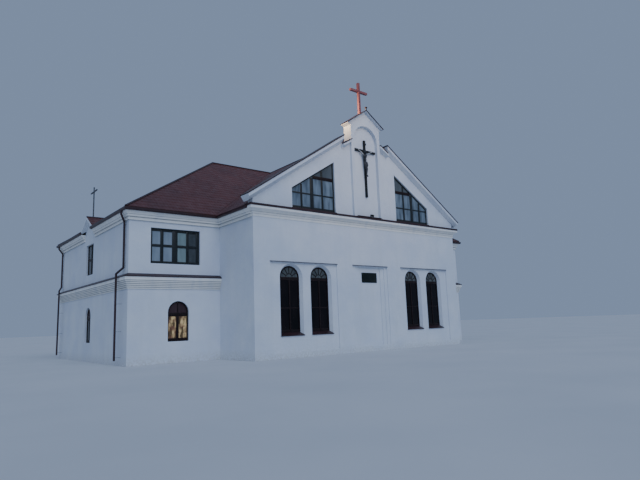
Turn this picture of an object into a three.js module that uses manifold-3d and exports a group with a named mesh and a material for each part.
// A modern white church with a parapet gable front, a small bellcote, and hip-roofed wings.
// Millimetres, +Z up. The front faces -Y. The group's origin is on the ground, in the middle
// of the building's box.

import * as THREE from 'three';
import { mergeVertices } from 'three/addons/utils/BufferGeometryUtils.js';
import Module from 'manifold-3d';

const wasm = await Module();
wasm.setup();

// Driving dimensions. Y is counted from the front edge of the front cornice.
const GAP = 0.3;
const WALL = 450;
const WALL_TOP = 7300;
const FRONT = { half: 7700, y: 250 };
const WING = { half: 12480, y: 3670, rear: 16935 };
const ROOF = { overhang: 250, eaveZ: 7470, ridgeZ: 12750, hipX: 4730, thick: 150 };
const FLOOR = { ground: 150, upperTop: 4250, upperThick: 250, atticThick: 250 };
const CORNICE = { bottom: 6870, reach: 250, top: 7395, lip: 110, rise: 145 };
const COVE = { bottom: 6905, foot: 20, start: 40, fascia: 7275 };
const GROOVE = { depth: 15, height: 14 };
const STRING = { bottom: 3570, top: 4140, reach: 200, band: 160, steps: 5, lip: 40, rise: 170 };
const RAKE = { apexZ: 13320, slope: 0.66, innerX: 1740, lowX: 8130, depth: 360, seat: 300, flashing: 50 };
const SHOULDER = { topZ: 12070, lowZ: 11710, depth: 200, seat: 200 };
const BELL = { half: 1140, y: 100, headZ: 12930, headHalf: 1330, roofZ: 14000, roofSlope: 0.68 };
const BELL_ROOF = { half: 1370, front: -120, rear: 720, thick: 60 };
const NICHE = { half: 930, depth: 190, springZ: 12110 };
const GABLET = { half: 1000, apexZ: 8180, slope: 0.6 };
const PANEL = { inner: 2500, outer: 6750, top: 4720, bottom: 300, depth: 60 };
const PORTAL = [{ half: 1345, depth: 50 }, { half: 1115, depth: 100 }, { half: 835, depth: 150 }];
const TALL = { centres: [3575, 5475], half: 600, sill: 1200, spring: 3970, splay: 100 };
const ARCHED = { x: 9970, half: 545, sill: 1030, spring: 2440 };
const WIDE = { x: 10120, half: 1295, sill: 4820, top: 6585 };
const SIDE_WINDOW_HALF = 720;
const GABLE_WINDOW = { inner: 2400, outer: 5330, sill: 7580, outerTop: 8640, innerTop: 10480 };
const DOOR = { half: 750, spring: 2100, leafThick: 60 };
const REAR_WINDOWS_X = [-10000, -5000, 0, 5000, 10000];
const FRAME = { width: 75, depth: 70, reveal: 180, shallowReveal: 100 };
const GLASS = 20;
const PIPE = { radius: 50, x: 12570, y: 4080, foot: 250 };
const SWAN_NECK = { out: 205, front: 150, top: 7310, bend: 7150, end: 6810 };
const PIPE_OFFSET = { out: 210, back: 400, top: 4600, bottom: 4330 };

const RIDGE_Y = (WING.y + WING.rear) / 2;
const EAVE_X = WING.half + ROOF.overhang;
const EAVE_Y = WING.y - ROOF.overhang;
const GABLE_BACK = FRONT.y + WALL;
const FRONT_REACH = BELL_ROOF.front;
const GUTTER_REACH = 345;
const CENTRE_Y = Math.round((FRONT_REACH + WING.rear + GUTTER_REACH) / 2);

// Finishes
const finish = (color, roughness, metalness = 0) => new THREE.MeshStandardMaterial({ color, roughness, metalness });
const PLASTER = finish(0xe6e6e4, 0.9);
const ROOF_METAL = finish(0x4a2a2a, 0.5, 0.3);
const DARK_TRIM = finish(0x3d1f1c, 0.45, 0.3);
const FRAME_PAINT = finish(0x1c1a17, 0.5);
const GLASS_PANE = finish(0x6f8299, 0.1);
const CONCRETE = finish(0x9a9a98, 0.9);
const RED_PAINT = finish(0xb84a3c, 0.5);
const DARK_WOOD = finish(0x241a16, 0.6);
const FIGURE_METAL = finish(0x8f8f8c, 0.5, 0.4);
const CROSS_STEEL = finish(0x6a6d72, 0.4, 0.7);
const DOOR_WOOD = finish(0x3a2418, 0.6);
const PLAQUE_GLASS = finish(0x10201c, 0.2);

// Closed meshes

function signedVolume(points, triangles) {
  const [a, b, c] = [new THREE.Vector3(), new THREE.Vector3(), new THREE.Vector3()];
  let volume = 0;
  for (let i = 0; i < triangles.length; i += 3) {
    a.fromArray(points, triangles[i] * 3);
    b.fromArray(points, triangles[i + 1] * 3);
    c.fromArray(points, triangles[i + 2] * 3);
    volume += a.dot(b.cross(c));
  }
  return volume;
}

// A geometry from points and triangles, turned so that its faces point out
function closedGeometry(points, triangles) {
  const order = [...triangles];
  if (signedVolume(points, order) < 0) {
    order.reverse();
  }
  const geometry = new THREE.BufferGeometry();
  geometry.setAttribute('position', new THREE.BufferAttribute(new Float32Array(points), 3));
  geometry.setIndex(order);
  return geometry;
}

function toManifold(geometry) {
  const bare = geometry.clone();
  bare.deleteAttribute('normal');
  bare.deleteAttribute('uv');
  const merged = mergeVertices(bare, 0.001);
  return new wasm.Manifold(new wasm.Mesh({
    numProp: 3,
    vertProperties: new Float32Array(merged.attributes.position.array),
    triVerts: new Uint32Array(merged.index.array),
  }));
}

function toGeometry(solid) {
  const mesh = solid.getMesh();
  const geometry = new THREE.BufferGeometry();
  geometry.setAttribute('position', new THREE.BufferAttribute(new Float32Array(mesh.vertProperties), 3));
  geometry.setIndex([...mesh.triVerts]);
  return geometry;
}

function join(...geometries) {
  return toGeometry(geometries.map(toManifold).reduce((sum, next) => sum.add(next)));
}

function cut(geometry, ...cutters) {
  return toGeometry(cutters.map(toManifold).reduce((rest, cutter) => rest.subtract(cutter), toManifold(geometry)));
}

function common(geometry, other) {
  return toGeometry(toManifold(geometry).intersect(toManifold(other)));
}

// A box between two corners
function block([x0, y0, z0], [x1, y1, z1]) {
  const geometry = new THREE.BoxGeometry(x1 - x0, y1 - y0, z1 - z0);
  geometry.translate((x0 + x1) / 2, (y0 + y1) / 2, (z0 + z1) / 2);
  return geometry;
}

// Gives each point of a geometry its new place
function remap(geometry, place) {
  const position = geometry.attributes.position;
  for (let i = 0; i < position.count; i += 1) {
    position.setXYZ(i, ...place(position.getX(i), position.getY(i), position.getZ(i)));
  }
  return geometry;
}

const toShape = (points) => new THREE.Shape(points.map(([u, v]) => new THREE.Vector2(u, v)));
const triangulated = (points) => (
  THREE.ShapeUtils.triangulateShape(points.map(([u, v]) => new THREE.Vector2(u, v)), []));

// A closed solid between two like rings of points, whose flat outline is given for the caps
function between(first, second, outline) {
  const n = outline.length;
  const triangles = triangulated(outline).flatMap(([a, b, c]) => [a, b, c, n + a, n + c, n + b]);
  for (let i = 0; i < n; i += 1) {
    const j = (i + 1) % n;
    triangles.push(i, n + i, n + j, i, n + j, j);
  }
  return closedGeometry([...first, ...second].flat(), triangles);
}

// An outline in plan, between two heights
function planSlab(points, bottom, top) {
  const geometry = new THREE.ExtrudeGeometry(toShape(points), { depth: top - bottom, bevelEnabled: false });
  return geometry.translate(0, 0, bottom);
}

// An outline seen from the front, in X and Z, between two depths in Y
function frontSlab(points, y0, y1) {
  const geometry = new THREE.ExtrudeGeometry(toShape(points), { depth: y1 - y0, bevelEnabled: false });
  return remap(geometry, (u, v, w) => [u, y1 - w, v]);
}

// An outline seen from the side, in Y and Z, between two places in X
function sideSlab(points, x0, x1) {
  const geometry = new THREE.ExtrudeGeometry(toShape(points), { depth: x1 - x0, bevelEnabled: false });
  return remap(geometry, (u, v, w) => [x0 + w, u, v]);
}

// The unit offset at each corner of a path: adding d times it moves the path d to its right
function mitres(path, loop) {
  const n = path.length;
  const side = (a, b) => {
    const length = Math.hypot(b[0] - a[0], b[1] - a[1]);
    return [(b[1] - a[1]) / length, (a[0] - b[0]) / length];
  };
  return path.map((point, i) => {
    const before = i > 0 || loop ? side(path[(i + n - 1) % n], point) : null;
    const after = i < n - 1 || loop ? side(point, path[(i + 1) % n]) : null;
    const [p, q] = [before ?? after, after ?? before];
    const scale = 1 + p[0] * q[0] + p[1] * q[1];
    return [(p[0] + q[0]) / scale, (p[1] + q[1]) / scale];
  });
}

// Moves a closed outline, drawn anticlockwise, outwards by a distance
function grow(points, distance) {
  const offsets = mitres(points, true);
  return points.map(([u, v], i) => [u + distance * offsets[i][0], v + distance * offsets[i][1]]);
}

// Sweeps a profile of [outward, height] points along a path that has its outer side on the right
function sweep(path, section) {
  const offsets = mitres(path, false);
  const flat = section.map(([out, w]) => new THREE.Vector2(out, w));
  const profile = THREE.ShapeUtils.isClockWise(flat) ? [...section].reverse() : section;
  const points = [];
  path.forEach(([u, v], i) => {
    profile.forEach(([out, w]) => points.push(u + out * offsets[i][0], v + out * offsets[i][1], w));
  });
  const n = profile.length;
  const triangles = [];
  for (let i = 0; i < path.length - 1; i += 1) {
    for (let j = 0; j < n; j += 1) {
      const [a, b] = [i * n + j, i * n + ((j + 1) % n)];
      triangles.push(a, a + n, b + n, a, b + n, b);
    }
  }
  const last = (path.length - 1) * n;
  triangulated(profile).forEach(([a, b, c]) => {
    triangles.push(a, b, c, last + a, last + c, last + b);
  });
  return closedGeometry(points, triangles);
}

// The same sweep along a path seen from the front: the profile's second number is depth in Y
function frontSweep(path, profile) {
  const swept = sweep(path, profile.map(([out, y]) => [out, -y]));
  return remap(swept, (u, v, w) => [u, -w, v]);
}

// A slab of even vertical thickness on an outline in plan, under the surface z = height(x, y)
function slopeSlab(outline, height, thick) {
  const plan = grow(outline, -GAP / 2);
  const upper = plan.map(([x, y]) => [x, y, height(x, y)]);
  const lower = plan.map(([x, y]) => [x, y, height(x, y) - thick]);
  return between(upper, lower, plan);
}

// A tapering solid seen from the front, from one outline in X and Z to another like it behind
function frontTaper(near, far, y0, y1) {
  return between(near.map(([x, z]) => [x, y0, z]), far.map(([x, z]) => [x, y1, z]), near);
}

// Points of an arc in degrees
function arc(u, v, radius, from, to, steps) {
  return Array.from({ length: steps + 1 }, (_, i) => {
    const angle = THREE.MathUtils.degToRad(from + ((to - from) * i) / steps);
    return [u + radius * Math.cos(angle), v + radius * Math.sin(angle)];
  });
}

// A round-headed outline, drawn anticlockwise
function archOutline(centre, half, sill, spring) {
  return [[centre - half, sill], [centre + half, sill], ...arc(centre, spring, half, 0, 180, 14)];
}

function boxOutline(u0, v0, u1, v1) {
  return [[u0, v0], [u1, v0], [u1, v1], [u0, v1]];
}

// The same outline on the other side of the middle
const mirrored = (points) => points.map(([u, v]) => [-u, v]).reverse();

// The same solid, mirrored: place gives each point its new one
function mirror(geometry, place) {
  const turned = remap(geometry.clone(), place);
  turned.deleteAttribute('normal');
  turned.deleteAttribute('uv');
  const merged = mergeVertices(turned, 0.001);
  return closedGeometry([...merged.attributes.position.array], [...merged.index.array]);
}

const toLeft = (geometry) => mirror(geometry, (x, y, z) => [-x, y, z]);

// The model

const church = new THREE.Group();
const building = new THREE.Group();
building.position.set(0, -CENTRE_Y, 0);
church.add(building);

function add(name, geometry, material) {
  const mesh = new THREE.Mesh(geometry, material);
  mesh.name = name;
  building.add(mesh);
}

// Window and door outlines

const TALL_WINDOWS = TALL.centres.flatMap((x) => [-x, x])
  .map((x) => archOutline(x, TALL.half, TALL.sill, TALL.spring));
const GABLE_WINDOW_RIGHT = [
  [GABLE_WINDOW.inner, GABLE_WINDOW.sill],
  [GABLE_WINDOW.outer, GABLE_WINDOW.sill],
  [GABLE_WINDOW.outer, GABLE_WINDOW.outerTop],
  [GABLE_WINDOW.inner, GABLE_WINDOW.innerTop],
];
const wideOutline = (u) => boxOutline(u - WIDE.half, WIDE.sill, u + WIDE.half, WIDE.top);
const archedOutline = (u) => archOutline(u, ARCHED.half, ARCHED.sill, ARCHED.spring);
const SIDE_UPPER = boxOutline(RIDGE_Y - SIDE_WINDOW_HALF, WIDE.sill, RIDGE_Y + SIDE_WINDOW_HALF, WIDE.top);
const SIDE_LOWER = archedOutline(RIDGE_Y);
const DOORWAY = archOutline(ARCHED.x, DOOR.half, FLOOR.ground, DOOR.spring);

// A pane held in a frame all round, in an opening's outline
function windowUnit(outline) {
  const ring = toShape(grow(outline, -GAP));
  const opening = grow(outline, -FRAME.width);
  ring.holes.push(new THREE.Path(opening.map(([u, v]) => new THREE.Vector2(u, v))));
  const frame = new THREE.ExtrudeGeometry(ring, { depth: FRAME.depth, bevelEnabled: false });
  const pane = toShape(grow(outline, -FRAME.width / 2));
  const glass = new THREE.ExtrudeGeometry(pane, { depth: GLASS, bevelEnabled: false });
  return join(frame, glass.translate(0, 0, (FRAME.depth - GLASS) / 2));
}

const facingFront = (geometry, y) => remap(geometry, (u, v, w) => [u, y + FRAME.depth - w, v]);
const facingRight = (geometry, x) => remap(geometry, (u, v, w) => [x - FRAME.depth + w, u, v]);

// Walls

function frontWall() {
  const wall = block([-FRONT.half, FRONT.y, 0], [FRONT.half, GABLE_BACK, WALL_TOP]);
  const panel = boxOutline(PANEL.inner, PANEL.bottom, PANEL.outer, PANEL.top);
  const panels = [panel, mirrored(panel)].map((points) => frontSlab(points, 0, FRONT.y + PANEL.depth));
  const orders = PORTAL.map(({ half, depth }) => (
    frontSlab(boxOutline(-half, PANEL.bottom, half, PANEL.top), 0, FRONT.y + depth)));
  const windows = TALL_WINDOWS.map((points) => frontSlab(points, 0, 2 * FRONT.y + WALL));
  const face = FRONT.y + PANEL.depth;
  const splays = TALL_WINDOWS.map((points) => (
    frontTaper(grow(points, 2 * TALL.splay), points, face - FRAME.reveal, face + FRAME.reveal)));
  return cut(wall, ...panels, ...orders, ...windows, ...splays);
}

function wingFrontWall(side) {
  const [near, far] = [FRONT.half - WALL, WING.half].map((x) => side * x).sort((a, b) => a - b);
  const wall = block([near, WING.y, 0], [far, WING.y + WALL, WALL_TOP]);
  const openings = [
    wideOutline(side * WIDE.x),
    side > 0 ? DOORWAY : archedOutline(-ARCHED.x),
  ];
  return cut(wall, ...openings.map((points) => frontSlab(points, WING.y - WALL, WING.y + 2 * WALL)));
}

function rearWall() {
  const back = WING.rear;
  const wall = block([-WING.half, back - WALL, 0], [WING.half, back, WALL_TOP]);
  const openings = REAR_WINDOWS_X.flatMap((x) => [wideOutline(x), archedOutline(x)]);
  return cut(wall, ...openings.map((points) => frontSlab(points, back - 2 * WALL, back + WALL)));
}

const gabletTop = GABLET.apexZ - ROOF.thick - GAP;

function wingSideWall() {
  const outline = [
    [WING.y + WALL, 0],
    [WING.rear - WALL, 0],
    [WING.rear - WALL, WALL_TOP],
    [RIDGE_Y + GABLET.half, WALL_TOP],
    [RIDGE_Y + GABLET.half, gabletTop - GABLET.slope * GABLET.half],
    [RIDGE_Y, gabletTop],
    [RIDGE_Y - GABLET.half, gabletTop - GABLET.slope * GABLET.half],
    [RIDGE_Y - GABLET.half, WALL_TOP],
    [WING.y + WALL, WALL_TOP],
  ];
  const wall = sideSlab(outline, WING.half - WALL, WING.half);
  const openings = [SIDE_UPPER, SIDE_LOWER].map((points) => sideSlab(points, WING.half - 2 * WALL, WING.half + WALL));
  return cut(wall, ...openings);
}

const frontSideWall = block([FRONT.half - WALL, GABLE_BACK, 0], [FRONT.half, WING.y, WALL_TOP]);

add('front_wall', frontWall(), PLASTER);
add('front_side_wall_left', toLeft(frontSideWall), PLASTER);
add('front_side_wall_right', frontSideWall, PLASTER);
add('wing_front_wall_left', wingFrontWall(-1), PLASTER);
add('wing_front_wall_right', wingFrontWall(1), PLASTER);
add('wing_side_wall_left', toLeft(wingSideWall()), PLASTER);
add('wing_side_wall_right', wingSideWall(), PLASTER);
add('rear_wall', rearWall(), PLASTER);

// Floors fill the plan inside the walls

const INSIDE_WING = WING.half - WALL - GAP;
const INSIDE_FRONT = FRONT.half - WALL - GAP;
const TEE_PLAN = [
  [-INSIDE_FRONT, GABLE_BACK + GAP],
  [INSIDE_FRONT, GABLE_BACK + GAP],
  [INSIDE_FRONT, WING.y + WALL + GAP],
  [INSIDE_WING, WING.y + WALL + GAP],
  [INSIDE_WING, WING.rear - WALL - GAP],
  [-INSIDE_WING, WING.rear - WALL - GAP],
  [-INSIDE_WING, WING.y + WALL + GAP],
  [-INSIDE_FRONT, WING.y + WALL + GAP],
];
const WING_PLAN = boxOutline(-INSIDE_WING, WING.y + WALL + GAP, INSIDE_WING, WING.rear - WALL - GAP);
add('ground_floor', planSlab(TEE_PLAN, 0, FLOOR.ground), CONCRETE);
add('upper_floor', planSlab(WING_PLAN, FLOOR.upperTop - FLOOR.upperThick, FLOOR.upperTop), CONCRETE);
add('attic_floor', planSlab(TEE_PLAN, WALL_TOP - FLOOR.atticThick, WALL_TOP), CONCRETE);

// Gable parapet, in two halves beside the bellcote

const rakeTop = (x) => RAKE.apexZ - RAKE.slope * x;
const shoulderSlope = (SHOULDER.topZ - SHOULDER.lowZ) / (RAKE.innerX - BELL.half);
const shoulderTop = (x) => SHOULDER.topZ - shoulderSlope * (x - BELL.half);
const rakeProfile = [
  [-RAKE.flashing - GAP, GABLE_BACK],
  [-RAKE.flashing - GAP, 0],
  [-RAKE.depth * 0.55, 0],
  [-RAKE.depth * 0.62, 40],
  [-RAKE.depth * 0.75, 110],
  [-RAKE.depth * 0.92, 190],
  [-RAKE.depth, FRONT.y],
  [-RAKE.depth, GABLE_BACK],
];
const flashingProfile = (back) => [[-RAKE.flashing, back], [-RAKE.flashing, -25], [0, -25], [0, back]];
const shoulderProfile = [
  [-RAKE.flashing - GAP, GABLE_BACK],
  [-RAKE.flashing - GAP, 0],
  [-RAKE.flashing - SHOULDER.depth * 0.5, 0],
  [-RAKE.flashing - SHOULDER.depth, FRONT.y],
  [-RAKE.flashing - SHOULDER.depth, GABLE_BACK],
];

// The rake's line, carried past its inner end and then cut upright there
function rakeSweep(profile, past) {
  const inner = RAKE.innerX - 600;
  const path = [[RAKE.lowX, rakeTop(RAKE.lowX)], [inner, rakeTop(inner)]];
  const beyond = block([0, -WALL, 0], [RAKE.innerX - past, GABLE_BACK + WALL, RAKE.apexZ + WALL]);
  return cut(frontSweep(path, profile), beyond);
}

function shoulderSweep(profile, past) {
  const [near, far] = [BELL.half - 400, RAKE.innerX + 400];
  const path = [[far, shoulderTop(far)], [near, shoulderTop(near)]];
  const reach = GABLE_BACK + WALL;
  const span = block([BELL.half + GAP, -WALL, 0], [RAKE.innerX + past, reach, RAKE.apexZ]);
  return common(frontSweep(path, profile), span);
}

function gableWall() {
  const outline = [
    [BELL.half + GAP, WALL_TOP],
    [FRONT.half, WALL_TOP],
    [FRONT.half, rakeTop(FRONT.half) - RAKE.seat],
    [RAKE.innerX, rakeTop(RAKE.innerX) - RAKE.seat],
    [RAKE.innerX, shoulderTop(RAKE.innerX) - SHOULDER.seat],
    [BELL.half + GAP, shoulderTop(BELL.half) - SHOULDER.seat],
  ];
  const wall = frontSlab(outline, FRONT.y, GABLE_BACK);
  const window = frontSlab(GABLE_WINDOW_RIGHT, FRONT.y - WALL, FRONT.y + 2 * WALL);
  const mouldings = [rakeSweep(rakeProfile, 0), shoulderSweep(shoulderProfile, 50)];
  return join(cut(wall, window), ...mouldings);
}

// A metal flashing on the rake and on the shoulder, with an upstand between them at the back
function rakeFlashing() {
  const upstand = block(
    [RAKE.innerX - 20, GABLE_BACK - 80, shoulderTop(RAKE.innerX) - 30],
    [RAKE.innerX - GAP, GABLE_BACK + 20, rakeTop(RAKE.innerX) - 10],
  );
  const rake = rakeSweep(flashingProfile(GABLE_BACK + 20), 20);
  return join(rake, shoulderSweep(flashingProfile(GABLE_BACK), -GAP), upstand);
}

add('gable_wall_left', toLeft(gableWall()), PLASTER);
add('gable_wall_right', gableWall(), PLASTER);
add('rake_flashing_left', toLeft(rakeFlashing()), DARK_TRIM);
add('rake_flashing_right', rakeFlashing(), DARK_TRIM);

// Front cornice: a plain cove under a sloped flashing, turned a little way round both corners

const RETURN_Y = FRONT.y + 100;
const frontPath = (end) => [
  [-FRONT.half - GAP, end],
  [-FRONT.half - GAP, FRONT.y - GAP],
  [FRONT.half + GAP, FRONT.y - GAP],
  [FRONT.half + GAP, end],
];
const coveCurve = arc(1, 0, 1, 180, 90, 8).map(([out, up]) => [
  COVE.foot + (CORNICE.reach - COVE.foot) * out,
  COVE.bottom + COVE.start + (COVE.fascia - COVE.bottom - COVE.start) * up,
]);
const coveProfile = [
  [0, COVE.bottom],
  [COVE.foot, COVE.bottom],
  ...coveCurve,
  [CORNICE.reach, CORNICE.top],
  [0, CORNICE.top],
];
const coveFlashing = [
  [0, CORNICE.top + GAP],
  [CORNICE.reach + 20, CORNICE.top + GAP],
  [CORNICE.reach + 20, CORNICE.top + CORNICE.lip],
  [0, CORNICE.top + CORNICE.rise],
];

// Bellcote: a pier with a round-headed niche, a small moulding at its head and a gabled roof

const bellTop = (x) => BELL.roofZ - BELL_ROOF.thick - GAP - BELL.roofSlope * x;
const LEDGE_Z = CORNICE.top + CORNICE.rise + GAP;

function bellcote() {
  const half = [
    [BELL.half, WALL_TOP],
    [BELL.half, BELL.headZ],
    [BELL.headHalf, BELL.headZ + 80],
    [BELL.headHalf, bellTop(BELL.headHalf)],
  ];
  const whole = [...half, [0, bellTop(0)], ...mirrored(half)];
  const pier = frontSlab(whole, BELL.y, GABLE_BACK);
  const ledge = block([-WALL - BELL.half, BELL.y - WALL, 0], [WALL + BELL.half, FRONT.y - GAP, LEDGE_Z]);
  const niche = frontSlab(archOutline(0, NICHE.half, LEDGE_Z, NICHE.springZ), BELL.y - WALL, BELL.y + NICHE.depth);
  return cut(pier, ledge, niche);
}

const chevron = (half, top, thick, y0, y1) => frontSlab([
  [-half, top - BELL.roofSlope * half - thick],
  [0, top - thick],
  [half, top - BELL.roofSlope * half - thick],
  [half, top - BELL.roofSlope * half],
  [0, top],
  [-half, top - BELL.roofSlope * half],
], y0, y1);

function bellRoof() {
  const roof = chevron(BELL_ROOF.half, BELL.roofZ, BELL_ROOF.thick, BELL_ROOF.front, BELL_ROOF.rear);
  const finial = new THREE.LatheGeometry([
    new THREE.Vector2(0, -60),
    new THREE.Vector2(35, -60),
    new THREE.Vector2(30, 90),
    new THREE.Vector2(85, 150),
    new THREE.Vector2(85, 175),
    new THREE.Vector2(0, 185),
  ], 10);
  const upright = remap(finial, (x, y, z) => [x, BELL_ROOF.front + 45 - z, BELL.roofZ + y]);
  return join(roof, upright);
}

function ridgeCross() {
  const [thick, arm, y] = [72, 670, 500];
  const post = block([-thick, y - thick, BELL.roofZ - 120], [thick, y + thick, BELL.roofZ + 1910]);
  const bar = block([-arm, y - thick, BELL.roofZ + 1300], [arm, y + thick, BELL.roofZ + 1430]);
  const seat = chevron(BELL_ROOF.half, BELL.roofZ + GAP, 2 * WALL, 0, 2 * y);
  return cut(join(post, bar), seat);
}

add('bellcote', bellcote(), PLASTER);
add('bellcote_roof', bellRoof(), DARK_TRIM);
add('ridge_cross', ridgeCross(), RED_PAINT);

// Crucifix on the back of the niche

const NICHE_BACK = BELL.y + NICHE.depth;
const CRUCIFIX = { thick: 100, half: 65, foot: 8750, top: 12190, barZ: 11530, arm: 830 };
const crossFront = NICHE_BACK - GAP - CRUCIFIX.thick;

function crucifixCross() {
  const back = NICHE_BACK - GAP;
  const { half, foot, top, barZ, arm } = CRUCIFIX;
  const post = block([-half, crossFront, foot], [half, back, top]);
  const bar = block([-arm, crossFront, barZ - half], [arm, back, barZ + half]);
  return join(post, bar);
}

function crucifixFigure() {
  const y = crossFront - 75;
  const { barZ } = CRUCIFIX;
  const shoulders = barZ - 270;
  const parts = [
    limb([-80, y, shoulders + 10, 110], [-105, y, shoulders - 250, 88]),
    limb([-105, y, shoulders - 235, 86], [-40, y, shoulders - 540, 96]),
    limb([-70, y, shoulders - 510, 70], [-30, y - 45, shoulders - 850, 54]),
    limb([0, y, shoulders - 510, 70], [25, y - 45, shoulders - 840, 54]),
    limb([-30, y - 42, shoulders - 830, 52], [-15, y + 10, shoulders - 1180, 38]),
    limb([25, y - 42, shoulders - 820, 52], [0, y + 10, shoulders - 1180, 38]),
    limb([10, y, shoulders - 10, 46], [250, y, shoulders + 120, 36]),
    limb([240, y, shoulders + 112, 36], [455, y + 15, barZ - 20, 30]),
    limb([-170, y, shoulders - 10, 46], [-320, y, shoulders + 120, 36]),
    limb([-312, y, shoulders + 112, 36], [-490, y + 15, barZ - 20, 30]),
    limb([-80, y - 5, shoulders - 20, 48], [-100, y - 20, shoulders + 110, 40]),
    ball([-105, y - 25, shoulders + 150], 72, 1.25),
  ];
  const behind = block([-2 * WALL, crossFront - GAP, 0], [2 * WALL, crossFront + WALL, BELL.roofZ]);
  const seat = block([-110, y, shoulders - 160], [-20, crossFront - GAP, shoulders - 60]);
  return cut(join(...parts, seat), behind);
}

add('crucifix_cross', crucifixCross(), DARK_WOOD);
add('crucifix_figure', crucifixFigure(), FIGURE_METAL);

const plaqueBack = FRONT.y + PORTAL[2].depth - GAP;
add('wall_plaque', block([-585, plaqueBack - 30, 3810], [585, plaqueBack, 4370]), PLAQUE_GLASS);

// Eaves: a stepped cornice round the wings, broken by the gablets, and a gutter on top of it

// One step of a moulding, with a shadow groove at its top
const groovedStep = (out, low, high) => [
  [out, low],
  [out, high - GROOVE.height],
  [out - GROOVE.depth, high - GROOVE.height],
  [out - GROOVE.depth, high],
];
const gabletEdge = GABLET.half + 60;
const frontRun = (start) => [
  [FRONT.half + GAP, start],
  [FRONT.half + GAP, WING.y - GAP],
  [WING.half + GAP, WING.y - GAP],
  [WING.half + GAP, RIDGE_Y - gabletEdge],
];
const REAR_RUN = [
  [WING.half + GAP, RIDGE_Y + gabletEdge],
  [WING.half + GAP, WING.rear + GAP],
  [-WING.half - GAP, WING.rear + GAP],
  [-WING.half - GAP, RIDGE_Y + gabletEdge],
];
const eavesProfile = [
  [0, CORNICE.bottom],
  ...groovedStep(55, CORNICE.bottom, CORNICE.bottom + 165),
  [115, CORNICE.bottom + 165],
  [135, CORNICE.bottom + 270],
  [180, CORNICE.bottom + 340],
  [ROOF.overhang - 10, CORNICE.bottom + 385],
  [ROOF.overhang - 10, WALL_TOP - GAP],
  [0, WALL_TOP - GAP],
];
const slabBottom = ROOF.eaveZ - ROOF.thick;
const gutterProfile = [
  [80, WALL_TOP],
  [300, WALL_TOP],
  [GUTTER_REACH, WALL_TOP + 45],
  [GUTTER_REACH, WALL_TOP + 135],
  [ROOF.overhang + 3, WALL_TOP + 135],
  [ROOF.overhang + 3, slabBottom - GAP],
  [80, slabBottom - GAP],
];

// A limb between two points, each [x, y, z, radius]
function limb(from, to, sides = 8) {
  const [a, b] = [new THREE.Vector3(...from.slice(0, 3)), new THREE.Vector3(...to.slice(0, 3))];
  const length = a.distanceTo(b);
  const geometry = new THREE.CylinderGeometry(to[3], from[3], length, sides);
  const turn = new THREE.Quaternion().setFromUnitVectors(
    new THREE.Vector3(0, 1, 0),
    b.clone().sub(a).normalize(),
  );
  geometry.applyQuaternion(turn);
  return geometry.translate(...a.add(b).multiplyScalar(0.5).toArray());
}

function ball([x, y, z], radius, stretch = 1) {
  const geometry = new THREE.SphereGeometry(radius, 10, 8);
  return geometry.rotateX(Math.PI / 2).scale(1, 1, stretch).translate(x, y, z);
}

// A downpipe on a wing's side: in under the eaves, down, out over the string course, and on down
function downpipe() {
  const { radius, x, y, foot } = PIPE;
  const bends = [
    [x + SWAN_NECK.out, y - SWAN_NECK.front, SWAN_NECK.top],
    [x + SWAN_NECK.out, y - SWAN_NECK.front, SWAN_NECK.bend],
    [x, y, SWAN_NECK.end],
    [x, y, PIPE_OFFSET.top],
    [x + PIPE_OFFSET.out, y + PIPE_OFFSET.back, PIPE_OFFSET.bottom],
    [x + PIPE_OFFSET.out, y + PIPE_OFFSET.back, foot],
  ];
  const runs = bends.slice(1).map((bend, i) => limb([...bends[i], radius], [...bend, radius], 10));
  return join(...runs, ...bends.slice(1, -1).map((bend) => ball(bend, radius)));
}

const eavesRun = sweep(frontRun(RETURN_Y - 1), eavesProfile);
const gutterRun = join(sweep(frontRun(RETURN_Y + GAP), gutterProfile), downpipe());
const rearPipe = mirror(downpipe(), (x, y, z) => [x, 2 * RIDGE_Y - y, z]);
add('cornice_front', join(sweep(frontPath(RETURN_Y), coveProfile), eavesRun, toLeft(eavesRun)), PLASTER);
add('cornice_rear', sweep(REAR_RUN, eavesProfile), PLASTER);
add('gutter_front', join(sweep(frontPath(RETURN_Y + 50), coveFlashing), gutterRun, toLeft(gutterRun)), DARK_TRIM);
add('gutter_rear', join(sweep(REAR_RUN, gutterProfile), rearPipe, toLeft(rearPipe)), DARK_TRIM);

// String course over the wings' ground storey

const STRING_RUN = [
  [FRONT.half + GAP, WING.y - GAP],
  [WING.half + GAP, WING.y - GAP],
  [WING.half + GAP, WING.rear + GAP],
];
const STRING_PATH = [...STRING_RUN, ...mirrored(STRING_RUN)];
const stepZ = (STRING.top - STRING.bottom - STRING.band) / STRING.steps;
const stepOut = STRING.reach / (STRING.steps + 1);
const stringSteps = Array.from({ length: STRING.steps }, (_, i) =>
  groovedStep(stepOut * (i + 1), STRING.bottom + stepZ * i, STRING.bottom + stepZ * (i + 1)));
const stringProfile = [
  [0, STRING.bottom],
  ...stringSteps.flat(),
  [STRING.reach, STRING.top - STRING.band],
  [STRING.reach, STRING.top],
  [0, STRING.top],
];
const stringFlashing = [
  [0, STRING.top + GAP],
  [STRING.reach + 25, STRING.top + GAP],
  [STRING.reach + 25, STRING.top + STRING.lip],
  [0, STRING.top + STRING.rise],
];
add('string_course', sweep(STRING_PATH, stringProfile), PLASTER);
add('string_flashing', sweep(STRING_PATH, stringFlashing), DARK_TRIM);

// Roof slopes

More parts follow.
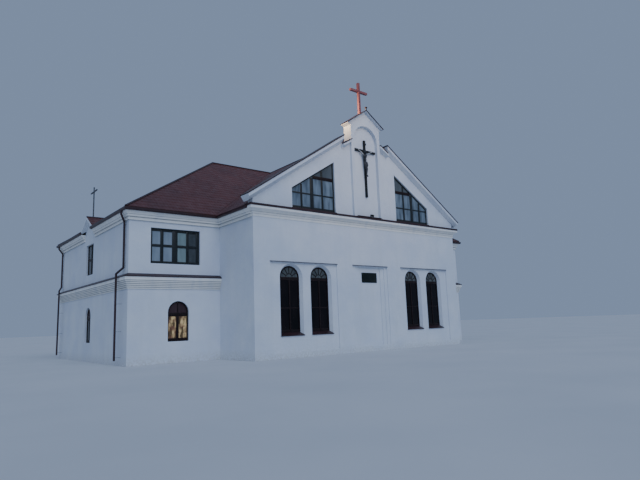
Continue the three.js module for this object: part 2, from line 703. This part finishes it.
const SLOPE = {
  nave: (ROOF.ridgeZ - ROOF.eaveZ) / (FRONT.half + ROOF.overhang),
  hip: (ROOF.ridgeZ - ROOF.eaveZ) / (EAVE_X - ROOF.hipX),
  wing: (ROOF.ridgeZ - ROOF.eaveZ) / (RIDGE_Y - EAVE_Y),
};
const naveHeight = (x) => ROOF.ridgeZ - SLOPE.nave * Math.abs(x);
const hipHeight = (x) => ROOF.ridgeZ - SLOPE.hip * (Math.abs(x) - ROOF.hipX);
const wingHeight = (x, y) => ROOF.ridgeZ - SLOPE.wing * Math.abs(y - RIDGE_Y);
const gabletHeight = (x, y) => GABLET.apexZ - GABLET.slope * Math.abs(y - RIDGE_Y);

const EAVE_REAR = WING.rear + ROOF.overhang;
const NAVE_EAVE = FRONT.half + ROOF.overhang;
const gabletFoot = (GABLET.apexZ - ROOF.eaveZ) / GABLET.slope;
const gabletRidgeX = ROOF.hipX + (ROOF.ridgeZ - GABLET.apexZ) / SLOPE.hip;

const NAVE_PLAN = [[0, GABLE_BACK + GAP], [NAVE_EAVE, GABLE_BACK + GAP], [NAVE_EAVE, EAVE_Y], [0, RIDGE_Y]];
const WING_FRONT_PLAN = [[NAVE_EAVE, EAVE_Y], [EAVE_X, EAVE_Y], [ROOF.hipX, RIDGE_Y], [0, RIDGE_Y]];
const HIP_PLAN = [
  [ROOF.hipX, RIDGE_Y],
  [EAVE_X, EAVE_Y],
  [EAVE_X, RIDGE_Y - gabletFoot],
  [gabletRidgeX, RIDGE_Y],
  [EAVE_X, RIDGE_Y + gabletFoot],
  [EAVE_X, EAVE_REAR],
];
const REAR_HALF = [[ROOF.hipX, RIDGE_Y], [EAVE_X, EAVE_REAR]];
const REAR_PLAN = [...REAR_HALF, ...mirrored(REAR_HALF)];

const naveSlope = slopeSlab(NAVE_PLAN, naveHeight, ROOF.thick);
const wingSlope = slopeSlab(WING_FRONT_PLAN, wingHeight, ROOF.thick);
const hipSlope = slopeSlab(HIP_PLAN, hipHeight, ROOF.thick);
add('nave_slope_left', toLeft(naveSlope), ROOF_METAL);
add('nave_slope_right', naveSlope, ROOF_METAL);
add('wing_slope_front_left', toLeft(wingSlope), ROOF_METAL);
add('wing_slope_front_right', wingSlope, ROOF_METAL);
add('hip_slope_left', toLeft(hipSlope), ROOF_METAL);
add('hip_slope_right', hipSlope, ROOF_METAL);
add('wing_slope_rear', slopeSlab(REAR_PLAN, wingHeight, ROOF.thick), ROOF_METAL);

// Gablet roofs and their crosses

function gabletRoof() {
  const near = [[EAVE_X, RIDGE_Y - gabletFoot], [EAVE_X, RIDGE_Y], [gabletRidgeX, RIDGE_Y]];
  const far = [[EAVE_X, RIDGE_Y], [EAVE_X, RIDGE_Y + gabletFoot], [gabletRidgeX, RIDGE_Y]];
  const ridge = block([gabletRidgeX + 60, RIDGE_Y - 20, GABLET.apexZ - ROOF.thick], [EAVE_X - 5, RIDGE_Y + 20,
    GABLET.apexZ - 12]);
  return join(slopeSlab(near, gabletHeight, ROOF.thick), slopeSlab(far, gabletHeight, ROOF.thick), ridge);
}

function gabletCross() {
  const [thick, arm, x] = [30, 600, WING.half - 120];
  const [foot, top, barZ] = [GABLET.apexZ - 10, GABLET.apexZ + 1820, GABLET.apexZ + 1520];
  const post = block([x - thick, RIDGE_Y - thick, foot], [x + thick, RIDGE_Y + thick, top]);
  const bar = block([x - thick, RIDGE_Y - arm, barZ], [x + thick, RIDGE_Y + arm, barZ + 2 * thick]);
  const seat = sideSlab([
    [RIDGE_Y - WALL, 0],
    [RIDGE_Y + WALL, 0],
    [RIDGE_Y + WALL, GABLET.apexZ + GAP - GABLET.slope * WALL],
    [RIDGE_Y, GABLET.apexZ + GAP],
    [RIDGE_Y - WALL, GABLET.apexZ + GAP - GABLET.slope * WALL],
  ], x - WALL, x + WALL);
  return cut(join(post, bar), seat);
}

add('gablet_roof_left', toLeft(gabletRoof()), ROOF_METAL);
add('gablet_roof_right', gabletRoof(), ROOF_METAL);
add('gablet_cross_left', toLeft(gabletCross()), CROSS_STEEL);
add('gablet_cross_right', gabletCross(), CROSS_STEEL);

// Windows

const tallY = FRONT.y + PANEL.depth + FRAME.reveal;
const gableY = FRONT.y + FRAME.shallowReveal;
const wingY = WING.y + FRAME.shallowReveal;
const sideX = WING.half - FRAME.shallowReveal;
const frontUnit = (outline, y) => facingFront(windowUnit(outline), y);
const sideUnit = (outline) => facingRight(windowUnit(outline), sideX);

['tall_window_1', 'tall_window_2', 'tall_window_3', 'tall_window_4'].forEach((name, i) => {
  add(name, frontUnit(TALL_WINDOWS[i], tallY), FRAME_PAINT);
});
add('gable_window_left', frontUnit(mirrored(GABLE_WINDOW_RIGHT), gableY), FRAME_PAINT);
add('gable_window_right', frontUnit(GABLE_WINDOW_RIGHT, gableY), FRAME_PAINT);
add('wing_window_left', frontUnit(wideOutline(-WIDE.x), wingY), FRAME_PAINT);
add('wing_window_right', frontUnit(wideOutline(WIDE.x), wingY), FRAME_PAINT);
add('arched_window_left', frontUnit(archedOutline(-ARCHED.x), wingY), FRAME_PAINT);
add('side_window_left_upper', toLeft(sideUnit(SIDE_UPPER)), FRAME_PAINT);
add('side_window_left_lower', toLeft(sideUnit(SIDE_LOWER)), FRAME_PAINT);
add('side_window_right_upper', sideUnit(SIDE_UPPER), FRAME_PAINT);
add('side_window_right_lower', sideUnit(SIDE_LOWER), FRAME_PAINT);

// Behind the rear wall's windows, one sheet of glass in each storey
function rearSheet(bottom, top) {
  const [edge, back] = [REAR_WINDOWS_X.at(-1) + WIDE.half + 100, WING.rear - WALL - GAP];
  return block([-edge, back - GLASS, bottom - 100], [edge, back, top + 100]);
}

add('rear_glass_upper', rearSheet(WIDE.sill, WIDE.top), GLASS_PANE);
add('rear_glass_lower', rearSheet(ARCHED.sill, ARCHED.spring + ARCHED.half), GLASS_PANE);

// Side door under a round head

const doorY = WING.y + FRAME.reveal;
add('side_door', frontSlab(grow(DOORWAY, -GAP), doorY, doorY + DOOR.leafThick), DOOR_WOOD);

export default church;
